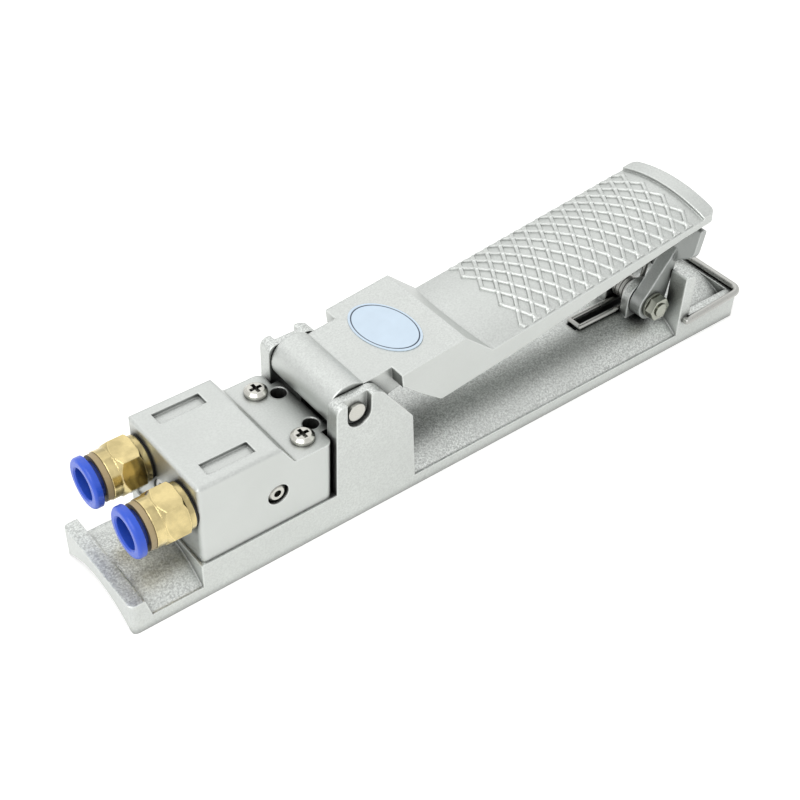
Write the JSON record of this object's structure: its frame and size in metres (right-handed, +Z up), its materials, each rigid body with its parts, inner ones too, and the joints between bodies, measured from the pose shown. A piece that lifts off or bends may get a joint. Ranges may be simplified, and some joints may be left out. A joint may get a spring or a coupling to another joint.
{
  "type": "foot pedal air valve",
  "caption": "Long cast foot pedal valve for compressed air: hinged treadle, spool valve block with push-in tube fittings, sprung lock flap under the pedal tip and a wire bail.",
  "frame": {"origin": "centre of the base footprint on the floor", "axes": "+X from the tube fittings to the free end of the pedal, +Z up, -Y the side nearest the camera"},
  "size_m": [0.254, 0.0454, 0.058],
  "materials": {
    "cast_alloy": "blasted die casting",
    "body_alloy": "blasted die casting",
    "turned_alloy": "turned",
    "bright_steel": "plated",
    "spring_steel": "drawn wire",
    "brass": "turned",
    "rubber": "moulded",
    "ring_plastic": "moulded",
    "sleeve_plastic": "moulded",
    "label_film": "printed film, left bare"
  },
  "bodies": {
    "frame": {"base": "cast_alloy", "valve_body": "body_alloy", "body_screws": "bright_steel", "fitting_bodies": "brass", "port_seals": "rubber", "fitting_sleeves": "sleeve_plastic", "grab_rings": "bright_steel", "tube_seals": "rubber", "side_plug": "bright_steel", "spool_spring": "spring_steel", "end_plug": "turned_alloy", "plug_seal": "rubber", "plug_clip": "spring_steel", "stem_wiper": "rubber", "hinge_pin": "bright_steel", "flap_bolt": "bright_steel", "flap_nut": "bright_steel", "flap_washers": "spring_steel", "flap_spring": "spring_steel"},
    "pedal": {"pedal": "cast_alloy", "pedal_label": "label_film"},
    "flap": {"flap": "cast_alloy"},
    "spool": {"spool": "turned_alloy", "spool_seals": "rubber"},
    "bail": {"bail": "bright_steel"},
    "release_ring_near": {"release_ring_near": "ring_plastic"},
    "release_ring_far": {"release_ring_far": "ring_plastic"}
  },
  "joints": [
    {"name": "pedal_hinge", "type": "hinge", "parent": "frame", "child": "pedal", "pos_m": [-0.0468, 0, 0.0428], "axis": [0, 1, 0], "range_deg": [0, 7.5], "stiffness_Nm_per_rad": 8, "springref_deg": -8.59},
    {"name": "flap_hinge", "type": "hinge", "parent": "frame", "child": "flap", "pos_m": [0.0882, 0, 0.0177], "axis": [0, 1, 0], "range_deg": [0, 66], "deforming": ["flap_spring"]},
    {"name": "spool_slide", "type": "slide", "parent": "frame", "child": "spool", "axis": [-1, 0, 0], "range_m": [0, 0.00238], "deforming": ["spool_spring"]},
    {"name": "bail_hinge", "type": "hinge", "parent": "frame", "child": "bail", "pos_m": [0.0982, 0, 0.0111], "axis": [0, -1, 0], "range_deg": [0, 60]},
    {"name": "release_near", "type": "slide", "parent": "frame", "child": "release_ring_near", "axis": [1, 0, 0], "range_m": [0, 0.0013], "stiffness_N_per_m": 1500, "springref_m": -0.0008},
    {"name": "release_far", "type": "slide", "parent": "frame", "child": "release_ring_far", "axis": [1, 0, 0], "range_m": [0, 0.0013], "stiffness_N_per_m": 1500, "springref_m": -0.0008}
  ],
  "couplings": [
    {"joint": "flap_hinge", "follows": "pedal_hinge", "ratio": 8.8},
    {"joint": "spool_slide", "follows": "pedal_hinge", "m_per_rad": 0.0182}
  ]
}
